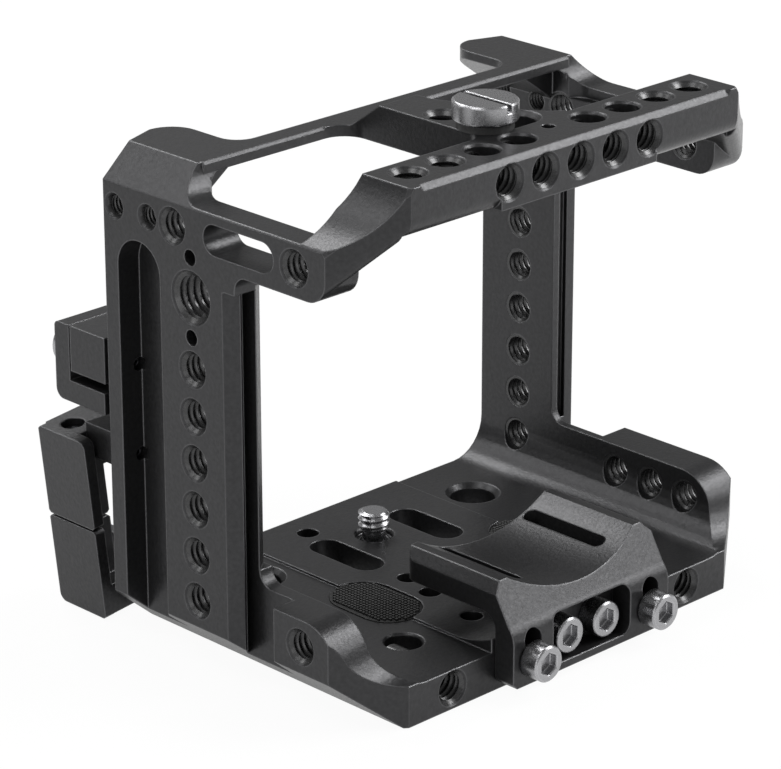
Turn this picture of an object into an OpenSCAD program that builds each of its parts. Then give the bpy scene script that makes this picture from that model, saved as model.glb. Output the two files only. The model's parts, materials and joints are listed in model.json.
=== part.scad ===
// A camera cage milled from one block, with a lens support, captive screws and two cable clamps.
// Origin: centre of the base's lower face. X runs to the right, Y to the rear, Z up. Millimetres.

/* [Cage] */
// Overall width of the cage
cage_w = 108; // [104:0.5:120]
// Depth of the base from front to rear
cage_d = 68.5; // [67:0.5:76]
// Thickness of the side walls
wall_t = 8; // [7:0.5:9]
// Thickness of the base
base_t = 7.7; // [7:0.1:9]
// Height of the rear beam's top over the base's lower face
beam_top = 95.6; // [94:0.2:110]
// How far the front bar stands above the rear beam
bar_rise = 4.9; // [4:0.1:7]

/* [Threads] */
// Pitch of the rows of accessory holes
hole_pitch = 9; // [8.5:0.1:9.3]
// Major diameter of the quarter-inch accessory thread
quarter_d = 6.35; // [6:0.05:6.6]
// Major diameter of the three-eighths-inch thread
three_eighths_d = 9.53; // [9:0.05:10]
// Width of the chamfer at the mouth of each threaded hole
mouth_chamfer = 0.4; // [0.2:0.05:0.6]

/* [Lens support] */
// Width of the lens support
support_w = 41.6; // [40:0.2:46]
// Radius of the saddle that carries the lens adapter
saddle_r = 33; // [30:0.5:45]
// Thickness of the plate in front of the base
support_plate_t = 4.7; // [4:0.1:5.5]

/* [Screws] */
// Diameter of the slotted top screw's head
top_head_d = 12; // [10:0.5:13]
// Height of the slotted top screw's head
top_head_h = 3.7; // [3:0.1:5]
// Head diameter of the four socket screws
socket_head_d = 7; // [6:0.1:7]
// Shank diameter of the four socket screws
socket_shank_d = 4; // [3:0.1:4]

/* [Cable clamps] */
// Depth of the upper clamp behind the cage
upper_clamp_d = 14.1; // [12:0.1:18]
// Width of the lower clamp's two blocks
lower_clamp_w = 13.1; // [12:0.1:14]
// Tilt of the lower clamp's blocks
lower_tilt = 6.3; // [0:0.1:9]

/* [Hidden] */
$fn = 48;

// Overrun of every cut past the face that it opens
cut = 1;
// Gap of a sliding fit, and of a shaft in its hole
slide_gap = 0.1;
shaft_gap = 0.05;
// Steps along an arc of an outline
arc_steps = 8;

// Cage
half_w = cage_w / 2;
half_d = cage_d / 2;
inner_x = half_w - wall_t;
bar_top = beam_top + bar_rise;
inner_fillet_r = 8;
bottom_chamfer_z = 9.2;
bottom_chamfer_run = 10.7;
bottom_half_w = half_w - bottom_chamfer_run;
front_corner_w = 11.5;
front_corner_d = 8.7;
front_corner_x = half_w - front_corner_w;
front_corner_y = half_d - front_corner_d;
rear_corner = 2.3;
edge_chamfer = 1;
roof_drop = 6;
roof_chamfer_z = beam_top - roof_drop;

// Side walls
wall_front_y = -2.65;
wall_front_lean = 2.3;
right_wall_front_y = 14.85;
right_wall_front_lean = 2;
wall_corner_r = 3;

// Top arms
arm_low = 80;
arm_top = 89.9;
arm_front_y = -front_corner_y;
arm_front_r = 4.3;
arm_inner_step = 2.2;
arm_step_depth = 2.2;
window_corner_r = 5;
scoop_rear_y = 13;
scoop_r = beam_top - arm_top;
scoop_front_y = scoop_rear_y - scoop_r;

// Feet
foot_top = 19.6;
foot_round_r = 8;
foot_nose = 14.6;
foot_round_y = half_d - foot_nose;
foot_round_z = foot_top - foot_round_r;
foot_turn = 164;
foot_hollow_y = -foot_round_y + 2 * foot_round_r * cos(foot_turn);
foot_hollow_z = foot_round_z + 2 * foot_round_r * sin(foot_turn);

// Accessory rows in the walls
column_y = 8.85;
column_low = 14.4;
column_count = 6;
right_column_y = 24.25;
locating_r = 1.5;
locating_depth = 4;
locating_low = 65.45;
locating_high = 80.45;
three_eighths_z = 72.95;
row_z = 85.2;
row_small_r = 2.15;
row_small_y = 20.15;
row_rear_y = 29.1;
row_quarter_y = 13.55;
arm_slot_rear_y = 5.25;
arm_slot_front_y = -12.75;
arm_slot_r = 2.85;
arm_hole_y = -17.85;
boss_hole_y = -18.35;
boss_hole_z = 14.3;
boss_hole_depth = 7;
foot_hole_y = -2.75;
foot_hole_z = 14.4;
foot_hole_count = 3;
corner_reach = 2;

// Rail on the left wall
rail_half_w = 8.2;
rail_lip = 2.3;
recess_depth = 5;
groove_rear_y = 28.45;
groove_top = 80.1;
rail_front_top = 76.2;
rail_front_r = 2;
boss_rear_y = -11.55;

// Relief of the right wall and foot
right_skin_t = 1.6;
right_relief_front_y = 2.3;
right_groove_in = 1.6;
right_groove_w = 4.2;
right_groove_d = 3;

// Rear beam and pads
beam_t = 2.2;
beam_front_y = 12.5;
beam_rear_y = 16.85;
pad_corner = [[0, 2.25, roof_drop], [6.2, 2.75, 0], [13.1, 0.35, 0]];
pad_corner_far = 30;
pad_tip_t = 1.6;
pad_reach = 18.6;
pad_tip_x = half_w - pad_reach;
pad_rear_y = 33.8;
pad_tip_r = 5.6;
pad_root_r = 4.4;
pad_root_drop = 7.5;

// Front bar, its necks and the bridge
bar_t = 9.2;
bar_rear_y = -22.35;
bar_half_w = 42;
neck_rear_y = -13.7;
neck_start_y = -19.3;
neck_bend_y = -20.1;
neck_run = half_w - bar_half_w;
neck_reach = 1.1;
neck_sag = 1.8;
bridge_t = 7.1;
bridge_left_x = -12.7;
bridge_right_x = -3;
bridge_fillet_r = 5;
bridge_ramp_low_y = 10.3;
bridge_ramp_y = 3.6;
bridge_bulge_x = 4.4;
bridge_bulge_y = -17.15;
bridge_bend_x = 6.5;
bridge_bend_y = -19.75;
bridge_end_x = 9;
bridge_end_y = -21.55;
bar_hole_y = -27.35;
thread_play = 0.1;
bar_hole_r = quarter_d / 2;
bar_hole_count = 4;
bar_pin_r = 1.3;
bar_pin_y = -26.15;
bar_face_hole_z = 96.1;
bar_face_hole_count = 5;
bar_round_r = 3.4;
bar_round_x = 20;
bridge_hole_x = -8.3;
bridge_hole_y = -8.15;
slot_r = 3.6;
slot_chamfer = 0.9;
slot_y = -18.45;
slot_left_x = -8;
slot_right_x = 0;

// Base
raised_half_w = 21.6;
raised_h = 0.45;
ramp_start_y = -24.15;
ramp_rise = 2.3;
ramp_run = half_d + ramp_start_y;
ramp_r = (pow(ramp_run, 2) + pow(ramp_rise, 2)) / (2 * ramp_rise);
seat_z = base_t + raised_h;
camera_screw_y = 18.35;
camera_hole_r = 3.6;
camera_web_top = 7;
camera_recess_r = 7.5;
camera_recess_h = 3.6;
base_slot_x = 10.7;
base_slot_rear_y = 20.35;
base_slot_front_y = 9.35;
base_slot_r = 3.3;
big_hole_x = 29;
big_hole_y = 20.05;
big_hole_r = 4.5;
big_hole_sink = 1;
floor_hole_r = 2.15;
floor_hole_x_shares = [-0.163, -0.181, -0.211, -0.248];
floor_hole_y_shares = [0.807, -0.026, -0.245, -0.618];
drain_x = -29.4;
drain_y = -19.55;
drain_r = 3.5;
front_hole_x = 31.5;
front_hole_z = 4.1;
front_hole_depth = 16;

// Rubber pads
pad_x = 21.4;
pad_y = -4.15;
pad_r = 6.25;
pad_straight = 7;
pad_sink = 0.6;
pad_stand = 0.5;
pad_gap = 0.1;

// Lens support
support_half_w = support_w / 2;
support_top = 20.85;
support_bevel = 1.95;
support_rear_y = -10.65;
support_rear_r = 3;
support_back_y = -half_d - slide_gap;
support_front_y = support_back_y - support_plate_t;
support_low = 1.5;
support_under = 14.9;
support_under_r = 3;
support_slope_top_y = -33.35;
support_slope_low = 15.1;
support_slope_r = 5;
saddle_low = 16.2;
saddle_slot_x = 11.3;
saddle_slot_rear_y = -12.65;
saddle_slot_front_y = -29.65;
saddle_slot_r = 1.5;
window_half_w = 10.4;
window_low = 3;
window_top = 12.9;
window_r = 2;
lock_slot_x = 15.8;
lock_slot_gap = 0.2;
lock_slot_r = socket_shank_d / 2 + lock_slot_gap;
lock_slot_low = 5.8;
lock_slot_top = 10.1;
lock_screw_z = 6.5;
guide_screw_x = 4.9;
guide_screw_z = 7;
socket_head_h = 4;
socket_key_w = 3.8;
socket_key_depth = 2;
socket_grip = 3.2;
screw_edge = 0.3;

// Top screw
top_screw_x = slot_left_x;
top_washer_r = 5.2;
top_washer_t = 1.5;
top_slot_w = 1.1;
top_slot_depth = 1.6;
top_neck_r = 2.4;
top_recess_r = 4.5;
top_recess_h = 3.6;
top_clip_r = 4.2;
top_clip_t = 0.8;
top_clip_drop = 0.9;
top_tip_l = 5.6;
thread_r = quarter_d / 2 - thread_play;

// Camera screw
camera_head_r = 6.8;
camera_head_h = 2;
camera_washer_r = 5;
camera_washer_t = 0.4;
camera_neck_r = 2.3;
camera_tip_low = 9.5;
camera_tip_top = 13.2;
camera_head_z = 0;
camera_slot_w = 1.2;
camera_slot_depth = 1;

// Upper cable clamp
clamp_inset = 1;
clamp_w = 12;
clamp_x0 = clamp_inset - half_w;
clamp_x1 = clamp_x0 + clamp_w;
clamp_leg_t = 4;
clamp_slit = 0.4;
clamp_top = 58.2;
clamp_body_low = 49.3;
clamp_foot_low = 43.1;
clamp_foot_t = 4.2;
clamp_corner_r = 2;
clamp_side_gap = 0.3;
clamp_screw_in = 5.5;
clamp_screw_x = clamp_x0 + clamp_screw_in;
clamp_screw_z = 52.1;
clamp_screw_r = 1.5;
clamp_head_r = 4.4;
clamp_head_h = 1.6;
clamp_key_w = 2.5;
clamp_key_depth = 1;
clamp_washer_r = 3.6;
clamp_washer_t = 0.4;
clamp_travel = 1.8;

// Lower cable clamp; its own sizes run along the tilted blocks
lower_inset = 2.45;
lower_face_x = lower_inset - half_w;
lower_front_y = 37.9;
lower_split_z = 18.7;
lower_split_gap = 0.5;
lower_top_z = 37.4;
lower_low_z = 0.3;
lower_corner_r = 1.6;
lower_edge = 0.5;
lower_plate_t = 2.4;
lower_body_in = 3.8;
lower_body_d = 7;
lower_head_d = 10.5;
lower_head_low = 29.3;
lower_foot_top = 6.8;
lower_foot_lift = 0.4;
lower_hook_t = 2;
lower_hook_top = 13.5;
lower_hole_r = 2.3;
lower_hole_sink = 4;
lower_shank_r = 1.5;
lower_screw_head_h = 2.5;
lower_screw_gap = 0.2;
lower_grip = 12;
lower_screw_x = 4.6;
lower_travel = 4;
bracket_inset = 2.3;
bracket_w = 10;
bracket_x0 = bracket_inset - half_w;
bracket_x1 = bracket_x0 + bracket_w;
bracket_low = 33;
bracket_top = 39.5;

// Mounting screws of the clamps
mount_screw_in = 4.4;
mount_screw_x = mount_screw_in - half_w;
mount_screw_r = 1.25;
mount_sink = 1.3;
mount_grip = 4;
mount_upper_z = 54;
mount_lower_z = 36.4;
mount_key_w = 1.3;

// Shades
black_anodised = "#2b2b2d";
black_rubber = "#1c1c1c";
bright_steel = "#9a9a9c";
dark_steel = "#55565a";

// Points of a circular arc, in degrees
function arc(cx, cy, r, a0, a1, n = arc_steps) =
    [for (i = [0:n]) let (a = a0 + (a1 - a0) * i / n) [cx + r * cos(a), cy + r * sin(a)]];

// Solids along each axis: an outline in Y-Z along X, in X-Z along Y, and in X-Y along Z
module along_x(x0, x1) translate([x0, 0, 0]) rotate([90, 0, 90]) linear_extrude(x1 - x0) children();
module along_y(y0, y1) translate([0, y1, 0]) rotate([90, 0, 0]) linear_extrude(y1 - y0) children();
module along_z(z0, z1) translate([0, 0, z0]) linear_extrude(z1 - z0) children();

// Round bars along each axis
module bar_x(r, x0, x1, y, z) translate([x0, y, z]) rotate([0, 90, 0]) cylinder(h = x1 - x0, r = r);
module bar_y(r, y0, y1, x, z) translate([x, y1, z]) rotate([90, 0, 0]) cylinder(h = y1 - y0, r = r);
module bar_z(r, z0, z1, x, y) translate([x, y, z0]) cylinder(h = z1 - z0, r = r);

// Countersinks: the wide end lies at the start of the travel
module sink_x(r, c, x, y, z, way) translate([x, y, z]) rotate([0, 90 * way, 0])
    translate([0, 0, -cut]) cylinder(h = c + cut + r, r1 = r + c + cut, r2 = 0);
module sink_y(r, c, x, y, z) translate([x, y, z]) rotate([-90, 0, 0])
    translate([0, 0, -cut]) cylinder(h = c + cut + r, r1 = r + c + cut, r2 = 0);
module sink_z(r, c, x, y, z, way) translate([x, y, z]) rotate([way > 0 ? 0 : 180, 0, 0])
    translate([0, 0, -cut]) cylinder(h = c + cut + r, r1 = r + c + cut, r2 = 0);

// A plate's outline with round corners
module rounded(x0, y0, x1, y1, r) {
    polygon(concat(arc(x1 - r, y1 - r, r, 0, 90), arc(x0 + r, y1 - r, r, 90, 180),
        arc(x0 + r, y0 + r, r, 180, 270), arc(x1 - r, y0 + r, r, 270, 360)));
}

// Outline of the whole cage seen from the front
module front_outline() {
    roof_x = half_w - (bar_top - roof_chamfer_z);
    polygon([[-bottom_half_w, 0], [bottom_half_w, 0], [half_w, bottom_chamfer_z],
        [half_w, roof_chamfer_z], [roof_x, bar_top], [-roof_x, bar_top],
        [-half_w, roof_chamfer_z], [-half_w, bottom_chamfer_z]]);
}

// Outline of the whole cage seen from above
module plan_outline() {
    polygon([[-front_corner_x, -half_d], [front_corner_x, -half_d], [half_w, -front_corner_y],
        [half_w, half_d - rear_corner], [half_w - rear_corner, half_d],
        [rear_corner - half_w, half_d], [-half_w, half_d - rear_corner], [-half_w, -front_corner_y]]);
}

// Front end of a foot, seen from the side: a round shoulder that runs into a hollow of one radius
function foot_front() = concat(
    arc(-foot_round_y, foot_round_z, foot_round_r, 90, foot_turn),
    arc(foot_hollow_y, foot_hollow_z, foot_round_r, foot_turn - 180,
        -acos((-half_d - foot_hollow_y) / foot_round_r)));

// Front end of a top arm, from its upper edge round to its lower edge
function arm_front() = concat(
    [[arm_front_y + edge_chamfer, arm_top], [arm_front_y, arm_top - edge_chamfer]],
    arc(arm_front_y + arm_front_r, arm_low + arm_front_r, arm_front_r, 180, 270));

// Hollow that climbs from the arm to the pad
function scoop() = arc(scoop_front_y, beam_top, scoop_r, 0, -90);

// Side view of a wall with its arm and foot; the wall's front edge lies at front_y
module side_outline(front_y) {
    polygon(concat([[half_d, 0], [half_d, beam_top]],
        scoop(), arm_front(),
        arc(front_y - wall_corner_r, arm_low - wall_corner_r, wall_corner_r, 90, 0),
        arc(front_y - wall_corner_r, foot_top + wall_corner_r, wall_corner_r, 0, -90),
        foot_front(), [[-half_d, base_t - edge_chamfer], [-half_d, 0]]));
}

// Mirror copy about the middle plane, and the original
module both_sides() {
    children();
    mirror([1, 0, 0]) children();
}

module walls() {
    along_x(-half_w, -inner_x) side_outline(wall_front_y);
    along_x(inner_x, half_w) side_outline(right_wall_front_y);
}

// Floor with the round inner corners that climb the walls
module floor_outline() {
    polygon(concat([[-half_w, 0], [half_w, 0], [half_w, base_t + inner_fillet_r]],
        arc(inner_x - inner_fillet_r, base_t + inner_fillet_r, inner_fillet_r, 0, -90),
        arc(-inner_x + inner_fillet_r, base_t + inner_fillet_r, inner_fillet_r, 270, 180),
        [[-half_w, base_t + inner_fillet_r]]));
}

// Raised middle strip of the floor, which climbs to a lip at the front
module raised_outline() {
    polygon(concat([[half_d, 0], [half_d, seat_z]],
        arc(ramp_start_y, seat_z + ramp_r, ramp_r, -90, -90 - asin(ramp_run / ramp_r)),
        [[-half_d, 0]]));
}

module base_plate() {
    intersection() {
        along_y(-half_d, half_d) floor_outline();
        along_x(-half_w, half_w) polygon(concat([[half_d, 0], [half_d, foot_top]], foot_front(),
            [[-half_d, base_t - edge_chamfer], [-half_d, 0]]));
    }
    along_x(-raised_half_w, raised_half_w) raised_outline();
}

// One rear pad: a tab inside the wall with a round end and a thin tip
module rear_pad() {
    intersection() {
        along_z(0, beam_top) polygon(concat([[-inner_x - cut, beam_rear_y - cut],
            [-pad_tip_x + pad_root_r, beam_rear_y - cut]],
            arc(-pad_tip_x + pad_root_r, beam_rear_y + pad_root_r, pad_root_r, 270, 180),
            arc(-pad_tip_x - pad_tip_r, pad_rear_y - pad_tip_r, pad_tip_r, 0, 90),
            [[-inner_x - cut, pad_rear_y]]));
        along_y(-half_d, half_d) polygon([[-inner_x - cut, beam_top], [-pad_tip_x + pad_root_r, beam_top],
            [-pad_tip_x + pad_root_r, beam_top - beam_t], [-pad_tip_x, beam_top - pad_tip_t],
            [-inner_x, beam_top - pad_tip_t - pad_root_drop],
            [-inner_x - cut, beam_top - pad_tip_t - pad_root_drop]]);
    }
}

module rear_beam() {
    along_x(-inner_x - cut, inner_x + cut) polygon([[beam_front_y, beam_top - beam_t],
        [beam_rear_y, beam_top - beam_t], [beam_rear_y, beam_top],
        [beam_front_y + edge_chamfer / 2, beam_top], [beam_front_y, beam_top - edge_chamfer / 2]]);
}

// Outer corner of a top window: where its round corner runs into the beam, and its cut into the arm
window_edge_x = -inner_x - arm_inner_step;
window_fillet_r = window_corner_r - arm_inner_step;
window_turn = acos((window_corner_r - arm_inner_step - cut) / window_corner_r);
function window_corner(a0, a1) = arc(window_edge_x + window_corner_r, beam_front_y - window_corner_r,
    window_corner_r, a0, a1);
function neck_rear(x) = neck_start_y + (x + half_w) * (neck_bend_y - neck_start_y) / wall_t;
module window_fillet() intersection() {
    along_y(0, half_d) polygon(concat([[-inner_x - cut, beam_top],
        [-inner_x - cut, beam_top - beam_t - window_fillet_r]],
        arc(-inner_x + window_fillet_r, beam_top - beam_t - window_fillet_r, window_fillet_r, 180, 90),
        [[-inner_x + window_fillet_r, beam_top]]));
    along_z(arm_top - arm_step_depth, beam_top) polygon(concat([[-inner_x - cut, beam_front_y + cut],
        [window_edge_x + window_corner_r, beam_front_y + cut]], window_corner(90, 180 - window_turn),
        [[-inner_x - cut, beam_front_y - window_corner_r * (1 - sin(window_turn))]]));
    along_x(-half_w, 0) polygon(concat([[beam_front_y + 2 * cut, 0], [beam_front_y + 2 * cut, beam_top]],
        scoop(), [[scoop_front_y, 0]]));
}
module window_cut() along_z(arm_top - arm_step_depth, beam_top + cut) polygon(concat(
    [[window_edge_x, neck_rear(window_edge_x)], [cut - inner_x, neck_rear(cut - inner_x)]],
    window_corner(180 - window_turn, 180)));

module front_bar() {
    along_x(-bar_half_w, bar_half_w) polygon([[-half_d, bar_top - bar_t], [bar_rear_y, bar_top - bar_t],
        [bar_rear_y, bar_top], [-half_d + edge_chamfer, bar_top], [-half_d, bar_top - edge_chamfer]]);
}

// Slanted neck: the arm's front end swept forward, inward and up to the bar's end
module neck() {
    sweep = [neck_run, -half_d - arm_front_y, bar_top - arm_top];
    length = norm(sweep);
    tip = acos(sweep[2] / length);
    turn = atan2(sweep[1], sweep[0]);
    side = [cos(tip) * cos(turn), cos(tip) * sin(turn), -sin(tip)];
    across = [-sin(turn), cos(turn), 0];
    profile = concat([[neck_rear_y, arm_low], [neck_rear_y, arm_top]], arm_front());
    ahead = [for (p = profile) [-half_w, p[0], p[1]] * sweep / length];
    chord = norm([sweep[0], sweep[2]]);
    hollow_r = pow(chord, 2) / (8 * neck_sag) + neck_sag / 2;
    difference() {
        rotate([0, 0, turn]) rotate([0, tip, 0]) translate([0, 0, min(ahead)])
            linear_extrude(max(ahead) - min(ahead) + length * neck_reach) polygon([for (p = profile)
                [[-half_w, p[0], p[1]] * side, [-half_w, p[0], p[1]] * across]]);
        bar_y(hollow_r, -half_d - cut, neck_rear_y + cut,
            -half_w + sweep[0] / 2 - (hollow_r - neck_sag) * sweep[2] / chord,
            (arm_top + bar_top) / 2 + (hollow_r - neck_sag) * sweep[0] / chord);
        along_z(0, bar_top + cut) polygon([[-half_w - cut, neck_start_y], [-inner_x, neck_bend_y],
            [-bar_half_w, bar_rear_y], [-bar_half_w + wall_t, bar_rear_y], [-bar_half_w + wall_t, 0],
            [-half_w - cut, 0]]);
    }
}

// Bridge from the rear beam to the bar, with its ramp
module bridge() {
    intersection() {
        along_z(bar_top - bridge_t, bar_top) polygon(concat(
            [[bridge_left_x - bridge_fillet_r, beam_front_y + cut]],
            arc(bridge_left_x - bridge_fillet_r, beam_front_y - bridge_fillet_r, bridge_fillet_r, 90, 0),
            arc(bridge_left_x - wall_corner_r, bar_rear_y + wall_corner_r, wall_corner_r, 0, -90),
            [[bridge_left_x, bar_rear_y - cut], [bridge_end_x, bar_rear_y - cut],
            [bridge_end_x, bridge_end_y], [bridge_bend_x, bridge_bend_y], [bridge_bulge_x, bridge_bulge_y],
            [bridge_right_x, 0], [bridge_right_x, beam_front_y + cut]]));
        along_x(-half_w, half_w) polygon([[bar_rear_y - cut, bar_top - bridge_t],
            [beam_front_y + cut, bar_top - bridge_t], [beam_front_y + cut, beam_top],
            [bridge_ramp_low_y, beam_top], [bridge_ramp_y, bar_top], [bar_rear_y - cut, bar_top]]);
    }
}

// Hole through the left wall, chamfered at its outer mouth; a low one reaches through the inner corner
module wall_hole(r, y, z, reach = cut) {
    bar_x(r, -half_w - cut, -inner_x + reach, y, z);
    sink_x(r, mouth_chamfer, -half_w, y, z, 1);
}

module left_wall_cuts() {
    for (i = [0:column_count - 1])
        wall_hole(quarter_d / 2, column_y, column_low + hole_pitch * i, i == 0 ? corner_reach : cut);
    for (z = [locating_low, locating_high])
        bar_x(locating_r, -half_w - cut, -half_w + locating_depth, column_y, z);
    wall_hole(three_eighths_d / 2, column_y, three_eighths_z);
    bar_x(quarter_d / 2, -half_w - cut, -half_w + boss_hole_depth, boss_hole_y, boss_hole_z);
    sink_x(quarter_d / 2, mouth_chamfer, -half_w, boss_hole_y, boss_hole_z, 1);
}

module row_cuts() {
    wall_hole(quarter_d / 2, row_quarter_y, row_z);
    wall_hole(row_small_r, row_small_y, row_z);
    wall_hole(row_small_r, row_rear_y, row_z);
    wall_hole(quarter_d / 2, arm_hole_y, row_z);
    for (y = [arm_slot_front_y + arm_slot_r, arm_slot_rear_y - arm_slot_r])
        bar_x(arm_slot_r, -half_w - cut, -inner_x + cut, y, row_z);
    translate([-half_w - cut, arm_slot_front_y + arm_slot_r, row_z - arm_slot_r])
        cube([wall_t + 2 * cut, arm_slot_rear_y - arm_slot_front_y - 2 * arm_slot_r, 2 * arm_slot_r]);
}

// Recesses on both sides of the rail, which leave its two lips
module rail_cuts() {
    rail_rear_y = column_y + rail_half_w;
    rail_front_y = column_y - rail_half_w;
    floor_x = -half_w + recess_depth;
    groove_r = (groove_rear_y - rail_rear_y) / 2;
    intersection() {
        along_z(-cut, groove_top + cut) polygon([[-half_w - cut, rail_rear_y],
            [-half_w, rail_rear_y], [-half_w + rail_lip, rail_rear_y + rail_lip],
            [floor_x, rail_rear_y + 2 * rail_lip - recess_depth], [floor_x, groove_rear_y],
            [-half_w - cut, groove_rear_y]]);
        along_x(-half_w - 2 * cut, floor_x + cut) union() {
            translate([rail_rear_y - cut, -cut])
                square([groove_rear_y - rail_rear_y + 2 * cut, groove_top - groove_r + cut]);
            translate([rail_rear_y + groove_r, groove_top - groove_r]) circle(r = groove_r);
        }
    }
    intersection() {
        along_z(-cut, rail_front_top) polygon([[-half_w - cut, rail_front_y], [-half_w, rail_front_y],
            [-half_w + rail_lip, rail_front_y - rail_lip],
            [floor_x, rail_front_y - 2 * rail_lip + recess_depth], [floor_x, boss_rear_y],
            [-half_w - cut, boss_rear_y]]);
        along_x(-half_w - 2 * cut, floor_x + cut) polygon(concat(
            [[boss_rear_y - cut, -cut], [rail_front_y + edge_chamfer, -cut]],
            arc(rail_front_y + edge_chamfer - rail_front_r, rail_front_top - rail_front_r, rail_front_r, 0, 90),
            [[boss_rear_y - cut, rail_front_top]]));
    }
}

module right_wall_cuts() {
    mirror([1, 0, 0]) {
        for (i = [0:column_count - 1])
            wall_hole(quarter_d / 2, right_column_y, column_low + hole_pitch * i, i == 0 ? corner_reach : cut);
        for (i = [0:foot_hole_count - 1])
            wall_hole(quarter_d / 2, foot_hole_y - hole_pitch * i, foot_hole_z, corner_reach);
    }
    translate([inner_x + right_skin_t, right_relief_front_y, -cut])
        cube([wall_t, right_wall_front_y + right_wall_front_lean - right_relief_front_y,
            foot_top + wall_corner_r + 2 * cut]);
    translate([inner_x + right_groove_in, right_wall_front_y - cut, foot_top - cut])
        cube([right_groove_w, right_groove_d + cut, arm_low - foot_top + cut]);
}

// Slanted front edge of each wall between foot and arm
module wall_edge_cuts() {
    along_z(foot_top + wall_corner_r, arm_low - wall_corner_r)
        polygon([[-inner_x + cut, wall_front_y - cut], [-half_w + recess_depth, wall_front_y - cut],
            [-half_w + recess_depth, wall_front_y], [-inner_x, wall_front_y + wall_front_lean],
            [-inner_x + cut, wall_front_y + wall_front_lean]]);
    translate([inner_x + right_groove_in + right_groove_w, right_wall_front_y - cut, foot_top])
        cube([wall_t, right_wall_front_lean + cut, arm_low - wall_corner_r - foot_top]);
}

module base_cuts() {
    bar_z(camera_neck_r + shaft_gap, 0, seat_z, 0, camera_screw_y);
    bar_z(camera_hole_r, camera_web_top, seat_z + cut, 0, camera_screw_y);
    bar_z(camera_recess_r, -cut, camera_recess_h, 0, camera_screw_y);
    sink_z(camera_hole_r, mouth_chamfer, 0, camera_screw_y, seat_z, -1);
    both_sides() {
        for (y = [base_slot_front_y, base_slot_rear_y])
            bar_z(base_slot_r, -cut, seat_z + cut, -base_slot_x, y);
        translate([-base_slot_x - base_slot_r, base_slot_front_y, -cut])
            cube([2 * base_slot_r, base_slot_rear_y - base_slot_front_y, seat_z + 2 * cut]);
        bar_z(big_hole_r, -cut, seat_z + cut, -big_hole_x, big_hole_y);
        sink_z(big_hole_r, big_hole_sink, -big_hole_x, big_hole_y, base_t, -1);
        bar_y(quarter_d / 2, -half_d - cut, -half_d + front_hole_depth, -front_hole_x, front_hole_z);
        sink_y(quarter_d / 2, mouth_chamfer, -front_hole_x, -half_d, front_hole_z);
        pad_pocket();
    }
    for (i = [0:len(floor_hole_x_shares) - 1])
        bar_z(floor_hole_r, -cut, seat_z + cut, half_w * floor_hole_x_shares[i],
            half_d * floor_hole_y_shares[i]);
    bar_z(drain_r, -cut, seat_z + cut, drain_x, drain_y);
    sink_z(drain_r, mouth_chamfer, drain_x, drain_y, base_t, -1);
    for (x = [-lock_slot_x, lock_slot_x])
        bar_y(socket_shank_d / 2 + shaft_gap, -half_d - cut, -half_d + socket_grip + cut, x, lock_screw_z);
    for (x = [-guide_screw_x, guide_screw_x])
        bar_y(socket_shank_d / 2 + shaft_gap, -half_d - cut, -half_d + socket_grip + cut, x, guide_screw_z);
}

// Pocket and pad share one oblong outline
module pad_outline(r) {
    half = pad_straight / 2;
    polygon(concat(arc(-pad_x, pad_y + half, r, 0, 180), arc(-pad_x, pad_y - half, r, 180, 360)));
}
module pad_pocket() along_z(base_t - pad_sink, seat_z + cut) pad_outline(pad_r + pad_gap);

module top_cuts() {
    both_sides() for (i = [1:bar_hole_count]) {
        bar_z(bar_hole_r, bar_top - bar_t - cut, bar_top + cut, -hole_pitch * i, bar_hole_y);
        sink_z(bar_hole_r, mouth_chamfer, -hole_pitch * i, bar_hole_y, bar_top, -1);
    }
    bar_z(bar_pin_r, bar_top - locating_depth, bar_top + cut, 0, bar_pin_y);
    for (i = [0:bar_face_hole_count - 1]) let (x = hole_pitch * (i - (bar_face_hole_count - 1) / 2)) {
        bar_y(quarter_d / 2, -half_d - cut, bar_rear_y + cut, x, bar_face_hole_z);
        sink_y(quarter_d / 2, mouth_chamfer, x, -half_d, bar_face_hole_z);
    }
    bar_z(quarter_d / 2, bar_top - bridge_t - cut, bar_top + cut, bridge_hole_x, bridge_hole_y);
    sink_z(quarter_d / 2, mouth_chamfer, bridge_hole_x, bridge_hole_y, bar_top, -1);
    for (x = [slot_left_x, slot_right_x]) {
        bar_z(slot_r, bar_top - bridge_t - cut, bar_top + cut, x, slot_y);
        sink_z(slot_r, slot_chamfer, x, slot_y, bar_top, -1);
    }
    translate([slot_left_x, slot_y - slot_r, bar_top - bridge_t - cut])
        cube([slot_right_x - slot_left_x, 2 * slot_r, bridge_t + 2 * cut]);
    for (x = [slot_left_x, slot_right_x])
        bar_z(top_recess_r, bar_top - bar_t - cut, bar_top - bridge_t + top_recess_h, x, slot_y);
    translate([slot_left_x, slot_y - top_recess_r, bar_top - bar_t - cut])
        cube([slot_right_x - slot_left_x, 2 * top_recess_r, bar_t - bridge_t + top_recess_h + cut]);
    along_x(slot_left_x, slot_right_x) polygon([[slot_y, bar_top - slot_chamfer - slot_r],
        [slot_y - slot_r - slot_chamfer - cut, bar_top + cut],
        [slot_y + slot_r + slot_chamfer + cut, bar_top + cut]]);
    both_sides() along_x(-bar_half_w - cut, -bar_round_x) difference() {
        translate([-half_d - cut, bar_top - bar_t - cut]) square(bar_round_r + cut);
        translate([-half_d + bar_round_r, bar_top - bar_t + bar_round_r]) circle(r = bar_round_r);
    }
}

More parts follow.
